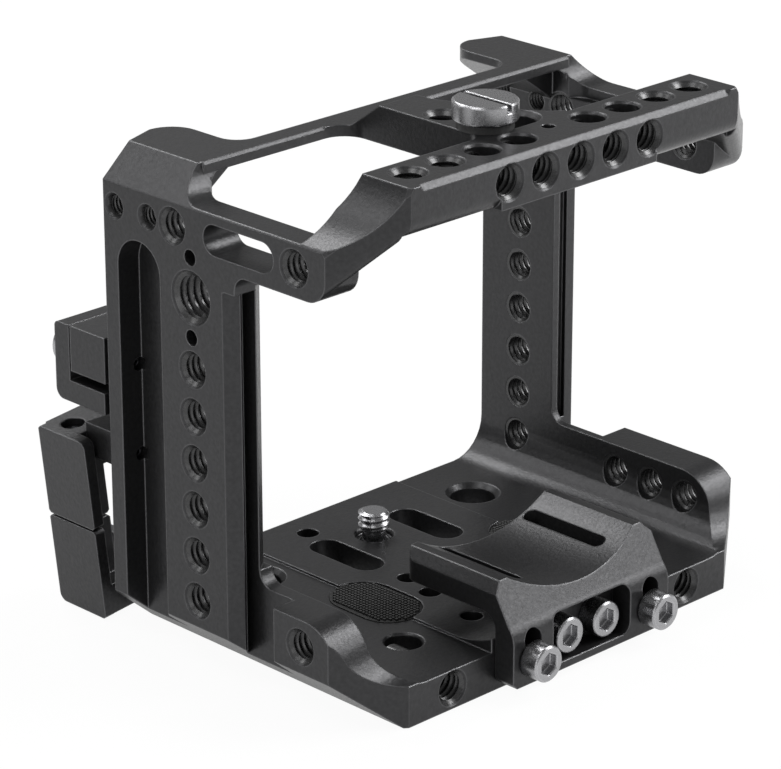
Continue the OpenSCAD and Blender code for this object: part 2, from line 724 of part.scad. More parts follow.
module cage_frame() color(black_anodised) difference() {
    intersection() {
        along_y(-half_d, half_d) front_outline();
        along_z(0, bar_top) plan_outline();
        union() {
            walls();
            base_plate();
            both_sides() rear_pad();
            rear_beam();
            both_sides() window_fillet();
            front_bar();
            both_sides() neck();
            bridge();
        }
    }
    left_wall_cuts();
    both_sides() row_cuts();
    both_sides() window_cut();
    rail_cuts();
    right_wall_cuts();
    wall_edge_cuts();
    base_cuts();
    top_cuts();
    both_sides() pad_corner_cut();
    mount_screw_cut(mount_upper_z);
    mount_screw_cut(mount_lower_z);
}

// Facet across the upper rear corner, on the plane through three points of it
module pad_corner_cut() {
    at = [for (p = pad_corner) [p[0] - half_w, half_d - p[1], beam_top - p[2]]];
    facing = cross(at[1] - at[0], at[2] - at[0]);
    translate(at[0]) rotate([0, acos(facing[2] / norm(facing)), atan2(facing[1], facing[0])])
        translate([-pad_corner_far, -pad_corner_far, 0])
            cube([2 * pad_corner_far, 2 * pad_corner_far, pad_corner_far]);
}

module rubber_pads() color(black_rubber) both_sides()
    along_z(base_t - pad_sink, base_t + pad_stand) pad_outline(pad_r);

// Lens support seen from the side: wing, slope and front plate
module support_side() {
    polygon(concat(
        [[support_rear_y, support_top], [support_rear_y, support_under]],
        arc(support_back_y + support_under_r, support_under - support_under_r, support_under_r, 90, 180),
        [[support_back_y, support_low], [support_front_y, support_low]],
        arc(support_front_y + support_slope_r, support_slope_low - support_slope_r, support_slope_r, 180, 135),
        [[support_slope_top_y, support_top]]));
}

module support_front() {
    polygon([[-support_half_w, support_low + edge_chamfer], [-support_half_w + edge_chamfer, support_low],
        [support_half_w - edge_chamfer, support_low], [support_half_w, support_low + edge_chamfer],
        [support_half_w, support_top - support_bevel], [support_half_w - support_bevel, support_top],
        [-support_half_w + support_bevel, support_top], [-support_half_w, support_top - support_bevel]]);
}

module lens_support() color(black_anodised) difference() {
    intersection() {
        along_x(-support_half_w, support_half_w) support_side();
        along_y(support_front_y, support_rear_y) support_front();
        along_z(0, support_top) polygon(concat([[support_half_w, support_front_y]],
            arc(support_half_w - support_rear_r, support_rear_y - support_rear_r, support_rear_r, 0, 90),
            arc(-support_half_w + support_rear_r, support_rear_y - support_rear_r, support_rear_r, 90, 180),
            [[-support_half_w, support_front_y]]));
    }
    bar_y(saddle_r, support_front_y - cut, support_rear_y + cut, 0, saddle_low + saddle_r);
    both_sides() {
        for (y = [saddle_slot_front_y, saddle_slot_rear_y])
            bar_z(saddle_slot_r, 0, support_top + cut, -saddle_slot_x, y);
        translate([-saddle_slot_x - saddle_slot_r, saddle_slot_front_y, 0])
            cube([2 * saddle_slot_r, saddle_slot_rear_y - saddle_slot_front_y, support_top]);
        for (z = [lock_slot_low, lock_slot_top])
            bar_y(lock_slot_r, support_front_y - cut, support_back_y + cut, -lock_slot_x, z);
        translate([-lock_slot_x - lock_slot_r, support_front_y - cut, lock_slot_low])
            cube([2 * lock_slot_r, support_plate_t + 2 * cut, lock_slot_top - lock_slot_low]);
    }
    along_y(support_front_y - cut, support_back_y + cut)
        rounded(-window_half_w, window_low, window_half_w, window_top, window_r);
}

// Socket screw along Y with its head towards the front; head_y is the seat under the head
module socket_screw(x, z, head_y, tip_y) {
    difference() {
        union() {
            translate([x, head_y, z]) rotate([90, 0, 0]) cylinder(h = socket_head_h - screw_edge,
                r = socket_head_d / 2);
            translate([x, head_y - socket_head_h + screw_edge, z]) rotate([90, 0, 0])
                cylinder(h = screw_edge, r1 = socket_head_d / 2, r2 = socket_head_d / 2 - screw_edge);
            bar_y(socket_shank_d / 2, head_y - cut, tip_y, x, z);
        }
        translate([x, head_y - socket_head_h + socket_key_depth, z]) rotate([90, 0, 0])
            cylinder(h = socket_key_depth + cut, r = socket_key_w / sqrt(3), $fn = 6);
    }
}

module support_lock_screw(side) color(bright_steel)
    socket_screw(side * lock_slot_x, lock_screw_z, support_front_y - slide_gap, -half_d + socket_grip);
module support_guide_screw(side) color(bright_steel)
    socket_screw(side * guide_screw_x, guide_screw_z, -half_d, -half_d + socket_grip);

// Top screw: its head rests on the washer, its neck runs in the slot, its thread hangs below
top_seat_z = bar_top + top_washer_t;
top_clip_z = bar_top - bridge_t - top_clip_drop;
module top_screw() color(bright_steel) difference() {
    union() {
        bar_z(top_head_d / 2, top_seat_z, top_seat_z + top_head_h, top_screw_x, slot_y);
        bar_z(top_neck_r, top_clip_z - cut, top_seat_z + cut, top_screw_x, slot_y);
        bar_z(thread_r, top_clip_z - top_tip_l, top_clip_z, top_screw_x, slot_y);
    }
    translate([top_screw_x - top_slot_w / 2, slot_y - top_head_d, top_seat_z + top_head_h - top_slot_depth])
        cube([top_slot_w, 2 * top_head_d, top_slot_depth + cut]);
}

module top_screw_washer() color(black_rubber) difference() {
    bar_z(top_washer_r, bar_top, top_seat_z, top_screw_x, slot_y);
    bar_z(top_neck_r + shaft_gap, bar_top - cut, top_seat_z + cut, top_screw_x, slot_y);
}

module top_screw_clip() color(dark_steel) difference() {
    bar_z(top_clip_r, top_clip_z, top_clip_z + top_clip_t, top_screw_x, slot_y);
    bar_z(top_neck_r + shaft_gap, top_clip_z - cut, top_clip_z + top_clip_t + cut, top_screw_x, slot_y);
}

// Camera screw: slotted head in the recess under the base, thin neck, threaded tip above the seat
module camera_screw() color(bright_steel) difference() {
    union() {
        bar_z(camera_head_r, camera_head_z, camera_head_z + camera_head_h, 0, camera_screw_y);
        bar_z(camera_neck_r, camera_head_z + camera_head_h - screw_edge, camera_tip_low + screw_edge,
            0, camera_screw_y);
        bar_z(thread_r, camera_tip_low, camera_tip_top, 0, camera_screw_y);
    }
    translate([-camera_head_r - cut, camera_screw_y - camera_slot_w / 2, camera_head_z - cut])
        cube([2 * camera_head_r + 2 * cut, camera_slot_w, camera_slot_depth + cut]);
}

module camera_screw_washer() color(black_rubber) difference() {
    washer_z = camera_head_z + camera_head_h;
    bar_z(camera_washer_r, washer_z, washer_z + camera_washer_t, 0, camera_screw_y);
    bar_z(camera_neck_r + shaft_gap, washer_z - cut, washer_z + camera_washer_t + cut, 0, camera_screw_y);
}

// Upper clamp: a block fixed behind the wall, and an L-shaped jaw that slides down from it
clamp_rear_y = half_d + upper_clamp_d;
clamp_leg_y = clamp_rear_y - clamp_leg_t;
module upper_clamp_body() color(black_anodised) difference() {
    along_x(clamp_x0, clamp_x1) polygon([[half_d, clamp_body_low], [clamp_leg_y - clamp_slit, clamp_body_low],
        [clamp_leg_y - clamp_slit, clamp_top], [half_d, clamp_top]]);
    bar_y(clamp_screw_r + shaft_gap, clamp_leg_y - clamp_leg_t - mount_grip, clamp_leg_y, clamp_screw_x,
        clamp_screw_z);
    bar_y(mount_screw_r + shaft_gap, half_d - cut, half_d + mount_grip + cut, mount_screw_x, mount_upper_z);
}

module upper_clamp_jaw() color(black_anodised) difference() {
    along_x(clamp_x0, clamp_x1) polygon(concat(
        [[clamp_leg_y, clamp_top], [clamp_leg_y, clamp_foot_low + clamp_foot_t],
        [half_d + clamp_side_gap, clamp_foot_low + clamp_foot_t], [half_d + clamp_side_gap, clamp_foot_low]],
        arc(clamp_rear_y - clamp_corner_r, clamp_foot_low + clamp_corner_r, clamp_corner_r, -90, 0),
        arc(clamp_rear_y - edge_chamfer, clamp_top - edge_chamfer, edge_chamfer, 0, 90)));
    for (z = [clamp_screw_z - clamp_travel, clamp_screw_z + clamp_travel])
        bar_y(clamp_screw_r + slide_gap, clamp_leg_y - cut, clamp_rear_y + cut, clamp_screw_x, z);
    translate([clamp_screw_x - clamp_screw_r - slide_gap, clamp_leg_y - cut, clamp_screw_z - clamp_travel])
        cube([2 * (clamp_screw_r + slide_gap), clamp_leg_t + 2 * cut, 2 * clamp_travel]);
}

module upper_clamp_screw() color(bright_steel) difference() {
    head_y = clamp_rear_y + slide_gap + clamp_washer_t;
    union() {
        bar_y(clamp_head_r, head_y, head_y + clamp_head_h, clamp_screw_x, clamp_screw_z);
        bar_y(clamp_screw_r, clamp_leg_y - clamp_leg_t - mount_grip + cut, head_y + cut, clamp_screw_x,
            clamp_screw_z);
    }
    translate([clamp_screw_x, head_y + clamp_head_h + cut, clamp_screw_z]) rotate([90, 0, 0])
        cylinder(h = clamp_key_depth + cut, r = clamp_key_w / sqrt(3), $fn = 6);
}

module upper_clamp_washer() color(dark_steel) difference() {
    washer_y = clamp_rear_y + slide_gap;
    bar_y(clamp_washer_r, washer_y, washer_y + clamp_washer_t, clamp_screw_x, clamp_screw_z);
    bar_y(clamp_screw_r + shaft_gap, washer_y - cut, washer_y + clamp_washer_t + cut, clamp_screw_x,
        clamp_screw_z);
}

// Lower clamp: two tilted jaws drawn together by one screw, on a bracket behind the wall
module tilted() translate([lower_face_x, lower_front_y, 0]) rotate([0, -lower_tilt, 0]) children();
lower_screw_y = (lower_body_in + lower_clamp_w) / 2;

// Wide face plate of a jaw with two round corners, and the narrower body behind it
module lower_jaw(z0, z1, round_top) {
    r = lower_corner_r;
    e = lower_edge;
    upper = round_top ? concat(arc(r, z1 - r, r, 180, 90), [[lower_clamp_w - e, z1], [lower_clamp_w, z1 - e]])
        : [[0, z1 - e], [e, z1], [lower_clamp_w - e, z1], [lower_clamp_w, z1 - e]];
    lower = round_top ? [[lower_clamp_w, z0 + e], [lower_clamp_w - e, z0], [e, z0], [0, z0 + e]]
        : concat(arc(lower_clamp_w - r, z0 + r, r, 0, -90), [[e, z0], [0, z0 + e]]);
    along_x(0, lower_plate_t) polygon(concat(upper, lower));
    along_y(lower_body_in, lower_clamp_w) polygon([[lower_plate_t - e, z0], [lower_body_d - e, z0],
        [lower_body_d, z0 + e], [lower_body_d, z1 - e], [lower_body_d - e, z1], [lower_plate_t - e, z1]]);
}

module lower_screw_hole(z0, z1) translate([lower_screw_x, lower_screw_y, z0])
    cylinder(h = z1 - z0, r = lower_shank_r + shaft_gap);

module lower_clamp_bracket() color(black_anodised) difference() {
    along_x(bracket_x0, bracket_x1) translate([half_d, bracket_low])
        square([lower_front_y + lower_body_in - half_d, bracket_top - bracket_low]);
    bar_y(mount_screw_r + shaft_gap, half_d - cut, half_d + mount_grip, mount_screw_x, mount_lower_z);
}

module lower_clamp_top_jaw() color(black_anodised) tilted() difference() {
    union() {
        lower_jaw(lower_split_z + lower_split_gap, lower_top_z, true);
        translate([lower_plate_t, lower_body_in, lower_head_low])
            cube([lower_head_d - lower_plate_t, lower_clamp_w - lower_body_in, lower_top_z - lower_head_low]);
    }
    translate([lower_screw_x, lower_screw_y, lower_top_z - lower_hole_sink])
        cylinder(h = lower_hole_sink + cut, r = lower_hole_r);
    lower_screw_hole(0, lower_top_z);
}

module lower_clamp_bottom_jaw() color(black_anodised) tilted() difference() {
    union() {
        lower_jaw(lower_low_z, lower_split_z, false);
        translate([lower_plate_t - lower_edge, 0, lower_low_z + lower_foot_lift]) cube([lower_head_d
            - lower_plate_t + lower_edge, lower_clamp_w, lower_foot_top - lower_low_z - lower_foot_lift]);
        translate([lower_head_d - lower_hook_t, lower_body_in, lower_foot_top - lower_edge])
            cube([lower_hook_t, lower_clamp_w - lower_body_in, lower_hook_top - lower_foot_top + lower_edge]);
    }
    lower_screw_hole(lower_split_z - lower_grip - lower_travel - cut, lower_split_z + cut);
}

module lower_clamp_screw() color(dark_steel) tilted() difference() {
    head_z = lower_top_z - lower_hole_sink;
    union() {
        translate([lower_screw_x, lower_screw_y, head_z])
            cylinder(h = lower_screw_head_h, r = lower_hole_r - lower_screw_gap);
        translate([lower_screw_x, lower_screw_y, lower_split_z - lower_grip])
            cylinder(h = head_z - lower_split_z + lower_grip + screw_edge, r = lower_shank_r);
    }
    translate([lower_screw_x, lower_screw_y, head_z + lower_screw_head_h - clamp_key_depth])
        cylinder(h = clamp_key_depth + cut, r = clamp_key_w / sqrt(3), $fn = 6);
}

// Set screws that run from the wall's rear groove into each clamp
module mount_screw_cut(z)
    bar_y(mount_screw_r + shaft_gap, groove_rear_y - cut, half_d + cut, mount_screw_x, z);
module mount_screw(z) color(dark_steel) difference() {
    bar_y(mount_screw_r, groove_rear_y + mount_sink, half_d + mount_grip - screw_edge, mount_screw_x, z);
    translate([mount_screw_x, groove_rear_y + mount_sink + clamp_key_depth, z]) rotate([90, 0, 0])
        cylinder(h = clamp_key_depth + cut, r = mount_key_w / sqrt(3), $fn = 6);
}

cage_frame();
rubber_pads();
lens_support();
support_lock_screw(-1);  // support_lock_screw_left
support_lock_screw(1);  // support_lock_screw_right
support_guide_screw(-1);  // support_guide_screw_left
support_guide_screw(1);  // support_guide_screw_right
top_screw();
top_screw_washer();
top_screw_clip();
camera_screw();
camera_screw_washer();
upper_clamp_body();
upper_clamp_jaw();
upper_clamp_screw();
upper_clamp_washer();
lower_clamp_bracket();
lower_clamp_top_jaw();
lower_clamp_bottom_jaw();
lower_clamp_screw();
mount_screw(mount_upper_z);  // upper_mount_screw
mount_screw(mount_lower_z);  // lower_mount_screw
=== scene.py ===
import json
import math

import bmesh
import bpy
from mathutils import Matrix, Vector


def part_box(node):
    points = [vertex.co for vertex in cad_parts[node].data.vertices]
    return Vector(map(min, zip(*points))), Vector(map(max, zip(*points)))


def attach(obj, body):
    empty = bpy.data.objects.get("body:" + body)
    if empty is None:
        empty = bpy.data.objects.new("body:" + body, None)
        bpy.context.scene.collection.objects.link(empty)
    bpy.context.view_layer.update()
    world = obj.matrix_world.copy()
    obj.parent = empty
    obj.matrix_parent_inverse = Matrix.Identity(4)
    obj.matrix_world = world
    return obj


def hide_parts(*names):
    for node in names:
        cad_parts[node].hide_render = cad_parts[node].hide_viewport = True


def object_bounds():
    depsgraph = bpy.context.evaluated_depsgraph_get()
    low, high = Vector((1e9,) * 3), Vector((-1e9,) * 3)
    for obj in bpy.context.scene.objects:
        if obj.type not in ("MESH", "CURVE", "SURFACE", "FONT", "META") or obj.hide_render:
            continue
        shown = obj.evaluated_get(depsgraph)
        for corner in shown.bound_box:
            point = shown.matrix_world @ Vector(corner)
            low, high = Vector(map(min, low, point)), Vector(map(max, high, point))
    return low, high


bl_info = {
    "name": "Camera Cage",
    "version": (1, 0, 0),
    "blender": (4, 5, 0),
    "location": "View3D > Sidebar > Cage",
    "description": "Finishes of a milled camera cage: anodised metal, threads, screws and rubber pads",
    "category": "Object",
}

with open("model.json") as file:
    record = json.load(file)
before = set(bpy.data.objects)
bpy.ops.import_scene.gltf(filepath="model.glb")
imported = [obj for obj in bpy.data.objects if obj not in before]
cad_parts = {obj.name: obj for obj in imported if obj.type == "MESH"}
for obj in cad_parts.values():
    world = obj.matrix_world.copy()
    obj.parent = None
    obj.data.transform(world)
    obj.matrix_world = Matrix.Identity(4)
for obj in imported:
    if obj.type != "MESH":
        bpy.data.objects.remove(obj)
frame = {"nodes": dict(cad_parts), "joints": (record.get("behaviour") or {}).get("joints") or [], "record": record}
CAD_BOX = [list(corner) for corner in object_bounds()]

NODES = frame["nodes"]
MOUNTS = {mount["name"]: mount for mount in frame["record"]["mounts"]}
JOINTS = {joint["name"]: joint for joint in frame["joints"]}
QUARTER_R = MOUNTS["left_column_1"]["dims"]["r_mm"] / 1000
SMALL_R = MOUNTS["left_row_small_front"]["dims"]["r_mm"] / 1000
SHANK_R = MOUNTS["camera_screw_thread"]["dims"]["r_mm"] / 1000

# Which finish each piece of the frame has
STEEL_NODES = ["upper_clamp_screw"]
SOCKET_NODES = ["support_lock_screw_left", "support_lock_screw_right", "support_guide_screw_left",
    "support_guide_screw_right"]
DARK_NODES = ["top_screw_clip", "upper_clamp_washer", "lower_clamp_screw", "upper_mount_screw",
    "lower_mount_screw"]
RUBBER_NODES = ["top_screw_washer", "camera_screw_washer"]
OWN_MESH_NODES = SOCKET_NODES + ["rubber_pads", "top_screw", "camera_screw"]

# Meshes: angles below which faces look round, distances below which points are one, and ridge scale
OWN_SMOOTH_ANGLE = math.radians(35)
FRAME_SMOOTH_ANGLE = math.radians(28)
WELD = 0.000002
DEGENERATE = 1e-6
MODEL_SCALE = 1000

# Threads: a ridge's half widths as shares of the pitch, the lining's collar, and the bar's crossing holes
RIDGE_FOOT = 0.47
RIDGE_CREST = 0.1
LINING_SUNK = 0.00004
COLLAR_DEPTH = 0.0006
BAR_TAP = 0.0112
CROSSING_SHARE = 0.9
UPRIGHT_REACH = 0.01

# Screws: necks and shanks as shares of the head's radius, the driver slots, and how far ridges are sunk
TOP_NECK = 0.4
CAMERA_NECK = 0.338
SOCKET_SHANK = 0.571
TOP_SLOT_W = 0.0011
TOP_SLOT_DEPTH = 0.0016
CAMERA_SLOT_W = 0.0012
CAMERA_SLOT_DEPTH = 0.001
RIDGE_SUNK = 0.00005

# Pads: how far the lugs are sunk, the edge as a share of the thickness, and the rim as a share of a cell
LUG_SUNK = 0.00005
PAD_EDGE = 0.18
PAD_RIM = 0.8

# Studio: each lamp's name, direction, distance, width and the brightness of its face
LAMPS = [
    ("key", (0.66, -0.36, 0.66), 1.1, 0.5, 11.0),
    ("front_right", (0.652, -0.68, 0.38), 1.2, 0.42, 6.5),
    ("back", (0.15, 0.66, 0.72), 1.1, 0.42, 9.0),
    ("back_left", (-0.42, 0.66, 0.62), 1.1, 0.4, 3.4),
    ("overhead", (-0.5, 0.05, 0.87), 1.1, 0.5, 4.0),
    ("left", (-1.0, -0.35, 0.25), 1.2, 0.8, 1.5),
]
LAMP_AIM = (0, 0, 0.05)
WORLD_GLOW = 0.32
FLOOR_DROP = 0.0002
FLOOR_LIT = 0.55
FLOOR_SEEN = 0.95
FLOOR_SLOPE = (-3.2, -1.4, 0)

# The photograph's camera: where it stood, how it was turned, and its focal length in pixels
CAMERA_PLACE = (-0.4616, -0.45735, 0.2982)
CAMERA_AZIMUTH = -44.418
CAMERA_ELEVATION = 21.346
CAMERA_ROLL = -0.086
FOCAL_PX = 3738
PHOTO_W = 781
SENSOR_W = 36


class CageSizes(bpy.types.PropertyGroup):
    quarter_pitch: bpy.props.FloatProperty(name="Quarter-inch pitch", default=0.00127, unit="LENGTH",
        description="Pitch of the quarter-inch thread, 20 turns to the inch")
    quarter_depth: bpy.props.FloatProperty(name="Quarter-inch depth", default=0.00058, unit="LENGTH",
        description="Height of the quarter-inch thread's ridge")
    large_pitch: bpy.props.FloatProperty(name="Three-eighths pitch", default=0.0015875, unit="LENGTH",
        description="Pitch of the three-eighths-inch thread, 16 turns to the inch")
    large_depth: bpy.props.FloatProperty(name="Three-eighths depth", default=0.00078, unit="LENGTH",
        description="Height of the three-eighths-inch thread's ridge")
    small_pitch: bpy.props.FloatProperty(name="Small pitch", default=0.00079, unit="LENGTH",
        description="Pitch of the small accessory threads")
    small_depth: bpy.props.FloatProperty(name="Small depth", default=0.00036, unit="LENGTH",
        description="Height of the small thread's ridge")
    pad_cell: bpy.props.FloatProperty(name="Pad grid", default=0.00078, unit="LENGTH",
        description="Pitch of the raised grid on the rubber pads")
    pad_groove: bpy.props.FloatProperty(name="Pad groove", default=0.0003, unit="LENGTH",
        description="Width of the grooves between the grid's lugs")
    pad_rise: bpy.props.FloatProperty(name="Pad lugs", default=0.00034, unit="LENGTH",
        description="How far the lugs stand out of the pad")
    socket_head: bpy.props.FloatProperty(name="Socket head", default=0.004, unit="LENGTH",
        description="Height of the socket screws' heads")
    socket_key: bpy.props.FloatProperty(name="Socket key", default=0.0038, unit="LENGTH",
        description="Width of the hexagon in the socket screws' heads")
    socket_depth: bpy.props.FloatProperty(name="Socket depth", default=0.0016, unit="LENGTH",
        description="Depth of the hexagon in the socket screws' heads")
    screw_edge: bpy.props.FloatProperty(name="Screw edge", default=0.0003, unit="LENGTH",
        description="Chamfer on the edges of the turned screws")
    edge_round: bpy.props.FloatProperty(name="Edge rounding", default=0.00045, unit="LENGTH",
        description="Radius of the worn edges of the milled parts")
    floor_w: bpy.props.FloatProperty(name="Floor", default=12.0, unit="LENGTH",
        description="Width of the studio floor")


class CageColours(bpy.types.PropertyGroup):
    anodised: bpy.props.FloatVectorProperty(name="Anodised", subtype="COLOR",
        default=(0.042, 0.042, 0.0435), description="Black anodised aluminium")
    thread: bpy.props.FloatVectorProperty(name="Threads", subtype="COLOR",
        default=(0.045, 0.045, 0.046), description="Anodised ridges of the threads")
    rubber: bpy.props.FloatVectorProperty(name="Rubber", subtype="COLOR",
        default=(0.032, 0.032, 0.032), description="Black rubber of the pads")
    steel: bpy.props.FloatVectorProperty(name="Bright steel", subtype="COLOR",
        default=(0.36, 0.36, 0.37), description="Turned stainless steel")
    # Painted shade: the rubber between the lugs is made nearly black to stand for the shade in the grooves.
    groove: bpy.props.FloatVectorProperty(name="Pad grooves", subtype="COLOR",
        default=(0.003, 0.003, 0.003), description="Black rubber between the lugs of the pads")
    dark_steel: bpy.props.FloatVectorProperty(name="Dark steel", subtype="COLOR",
        default=(0.06, 0.06, 0.065), description="Black oxide steel")
    floor: bpy.props.FloatVectorProperty(name="Floor", subtype="COLOR",
        default=(0.85, 0.85, 0.85), description="Studio floor")


def sizes():
    return bpy.context.scene.cage_sizes


def colours():
    return bpy.context.scene.cage_colours


# Materials

class Nodes:
    """Short hand for a material's node tree."""

    def __init__(self, name):
        self.material = bpy.data.materials.new("finish_" + name)
        self.material.use_nodes = True
        self.tree = self.material.node_tree
        self.shader = self.tree.nodes["Principled BSDF"]

    def add(self, kind, **inputs):
        node = self.tree.nodes.new(kind)
        for name, value in inputs.items():
            node.inputs[name].default_value = value
        return node

    def join(self, source, target):
        self.tree.links.new(source, target)

    def noise(self, scale, detail=3.0):
        noise = self.add("ShaderNodeTexNoise", Scale=scale, Detail=detail)
        self.join(self.add("ShaderNodeTexCoord").outputs["Object"], noise.inputs["Vector"])
        return noise.outputs["Fac"]

    def between(self, fac, low, high, target):
        """Sends a value that runs from low to high with fac."""
        spread = self.add("ShaderNodeMapRange")
        spread.inputs["From Min"].default_value = 0.3
        spread.inputs["From Max"].default_value = 0.7
        spread.inputs["To Min"].default_value = low
        spread.inputs["To Max"].default_value = high
        self.join(fac, spread.inputs["Value"])
        self.join(spread.outputs["Result"], target)

    def tint(self, fac, dark, light, target):
        """Sends a colour that runs from dark to light with fac."""
        ramp = self.add("ShaderNodeValToRGB")
        ramp.color_ramp.elements[0].color = (*dark, 1)
        ramp.color_ramp.elements[1].color = (*light, 1)
        ramp.color_ramp.elements[0].position = 0.3
        ramp.color_ramp.elements[1].position = 0.7
        self.join(fac, ramp.inputs["Fac"])
        self.join(ramp.outputs["Color"], target)

    def bump(self, height, distance, strength, normal=None):
        bump = self.add("ShaderNodeBump", Distance=distance, Strength=strength)
        self.join(height, bump.inputs["Height"])
        if normal:
            self.join(normal, bump.inputs["Normal"])
        self.join(bump.outputs["Normal"], self.shader.inputs["Normal"])


def shade(colour, k):
    return tuple(min(1.0, c * k) for c in colour[:3])


def edge_rounded_painted_highlight(made, colour, grain, edge_highlight_gain, spread=0.14):
    """Rounded edge normals, and a paler tone along the edges that is a painted highlight."""
    bevel = made.add("ShaderNodeBevel", Radius=sizes().edge_round)
    bevel.samples = 6
    flat = made.add("ShaderNodeNewGeometry")
    turn = made.add("ShaderNodeVectorMath")
    turn.operation = "DOT_PRODUCT"
    made.join(bevel.outputs["Normal"], turn.inputs[0])
    made.join(flat.outputs["True Normal"], turn.inputs[1])
    edge = made.add("ShaderNodeMapRange")
    edge.inputs["From Min"].default_value = 0.995
    edge.inputs["From Max"].default_value = 0.86
    made.join(turn.outputs["Value"], edge.inputs["Value"])
    # Painted highlight: along the edges the colour is mixed towards a paler copy of itself.
    mix = made.add("ShaderNodeMix")
    mix.data_type = "RGBA"
    made.tint(grain, shade(colour, 1 - spread), shade(colour, 1 + spread), mix.inputs["A"])
    mix.inputs["B"].default_value = (*shade(colour, edge_highlight_gain), 1)
    made.join(edge.outputs["Result"], mix.inputs["Factor"])
    made.join(mix.outputs["Result"], made.shader.inputs["Base Color"])
    return bevel.outputs["Normal"]


def anodised_metal():
    made = Nodes("black_anodised")
    made.shader.inputs["Metallic"].default_value = 0.78
    made.shader.inputs["Specular IOR Level"].default_value = 0.5
    grain = made.noise(1500, 4.0)
    # Edges get a painted highlight, 3.2 times as bright as the anodised colour.
    normal = edge_rounded_painted_highlight(made, colours().anodised, made.noise(1300, 4.0), edge_highlight_gain=3.2)
    made.between(made.noise(2600, 3.0), 0.30, 0.42, made.shader.inputs["Roughness"])
    made.bump(grain, 0.00008, 0.5, normal)
    return made.material


def thread_metal():
    made = Nodes("black_thread")
    made.shader.inputs["Metallic"].default_value = 0.6
    made.shader.inputs["Specular IOR Level"].default_value = 0.75
    made.tint(made.noise(1500, 3.0), shade(colours().thread, 0.8), shade(colours().thread, 1.25),
        made.shader.inputs["Base Color"])
    made.between(made.noise(3000, 2.0), 0.24, 0.36, made.shader.inputs["Roughness"])
    made.bump(made.noise(6000, 2.0), 0.00002, 0.12)
    return made.material


def black_rubber(name="black_rubber", colour=None):
    made = Nodes(name)
    colour = colour or colours().rubber
    made.shader.inputs["Specular IOR Level"].default_value = 0.35
    made.tint(made.noise(1200, 4.0), shade(colour, 0.75), shade(colour, 1.3),
        made.shader.inputs["Base Color"])
    made.between(made.noise(2000, 3.0), 0.55, 0.72, made.shader.inputs["Roughness"])
    made.bump(made.noise(7000, 3.0), 0.00003, 0.5)
    return made.material


def bright_steel(name="bright_steel", colour=None, rough=(0.22, 0.34), edge_highlight_gain=1.5):
    made = Nodes(name)
    made.shader.inputs["Metallic"].default_value = 1.0
    # Edges get a painted highlight, paler than the steel by the given gain.
    normal = edge_rounded_painted_highlight(made, colour or colours().steel, made.noise(3500, 3.0), edge_highlight_gain, spread=0.04)
    made.between(made.noise(4200, 3.0), *rough, made.shader.inputs["Roughness"])
    made.bump(made.noise(9000, 2.0), 0.000004, 0.02, normal)
    return made.material


def finish(name):
    """The material of that name, made once."""
    makers = {
        "black_anodised": anodised_metal,
        "black_thread": thread_metal,
        "black_rubber": black_rubber,
        "bright_steel": bright_steel,
        # Darker copy of the pad rubber, painted shade for the grooves between the lugs.
        "groove_shade_rubber": lambda: black_rubber("groove_shade_rubber", colours().groove),
        # The dark steel's edges get a painted highlight twice as bright as its colour.
        "dark_steel": lambda: bright_steel("dark_steel", colours().dark_steel, rough=(0.35, 0.5), edge_highlight_gain=2.0),
    }
    return bpy.data.materials.get("finish_" + name) or makers[name]()


def paint(piece, name):
    piece.data.materials.clear()
    piece.data.materials.append(finish(name))


# Modelling

def deselect():
    bpy.ops.object.select_all(action="DESELECT")


def only(piece):
    deselect()
    piece.select_set(True)
    bpy.context.view_layer.objects.active = piece


def edit(piece):
    only(piece)
    bpy.ops.object.mode_set(mode="EDIT")
    bpy.ops.mesh.select_all(action="SELECT")


def leave():
    bpy.ops.object.mode_set(mode="OBJECT")


def put_at(piece, place):
    """Moves and turns a piece, and leaves it with its origin at the middle of the frame."""
    piece.matrix_world = place
    only(piece)
    bpy.ops.object.transform_apply(location=True, rotation=True, scale=True)


def apply_all(piece):
    only(piece)
    for modifier in list(piece.modifiers):
        bpy.ops.object.modifier_apply(modifier=modifier.name)


def outline(name, points):
    """A closed ring of edges in the plane of X and Z, through the given points."""
    deselect()
    bpy.ops.mesh.primitive_circle_add(vertices=len(points), radius=1)
    piece = bpy.context.object
    piece.name = name
    edit(piece)
    mesh = bmesh.from_edit_mesh(piece.data)
    mesh.verts.ensure_lookup_table()
    for vertex, (x, z) in zip(mesh.verts, points):
        vertex.co = (x, 0, z)
    bmesh.update_edit_mesh(piece.data)
    leave()
    return piece


def revolve(piece, steps, pitch=0.0, turns=1):
    """Turns an outline about Z, rising by the pitch each turn."""
    screw = piece.modifiers.new("turn", "SCREW")
    screw.steps = steps
    screw.render_steps = steps
    screw.iterations = turns
    screw.screw_offset = pitch
    screw.use_merge_vertices = pitch == 0
    screw.merge_threshold = DEGENERATE
    screw.use_smooth_shade = True
    apply_all(piece)
    return piece


def trim(piece, low, high):
    """Cuts a ridge flat at two heights and closes the cuts."""
    edit(piece)
    bpy.ops.mesh.bisect(plane_co=(0, 0, low), plane_no=(0, 0, 1), use_fill=True, clear_inner=True)
    bpy.ops.mesh.select_all(action="SELECT")
    bpy.ops.mesh.bisect(plane_co=(0, 0, high), plane_no=(0, 0, 1), use_fill=True, clear_outer=True)
    leave()


def tidy(piece):
    """Merges doubles, turns the faces outwards and smooths what curves."""
    edit(piece)
    bpy.ops.mesh.remove_doubles(threshold=WELD)
    bpy.ops.mesh.dissolve_degenerate(threshold=DEGENERATE)
    bpy.ops.mesh.normals_make_consistent(inside=False)
    leave()
    only(piece)
    bpy.ops.object.shade_smooth_by_angle(angle=OWN_SMOOTH_ANGLE)


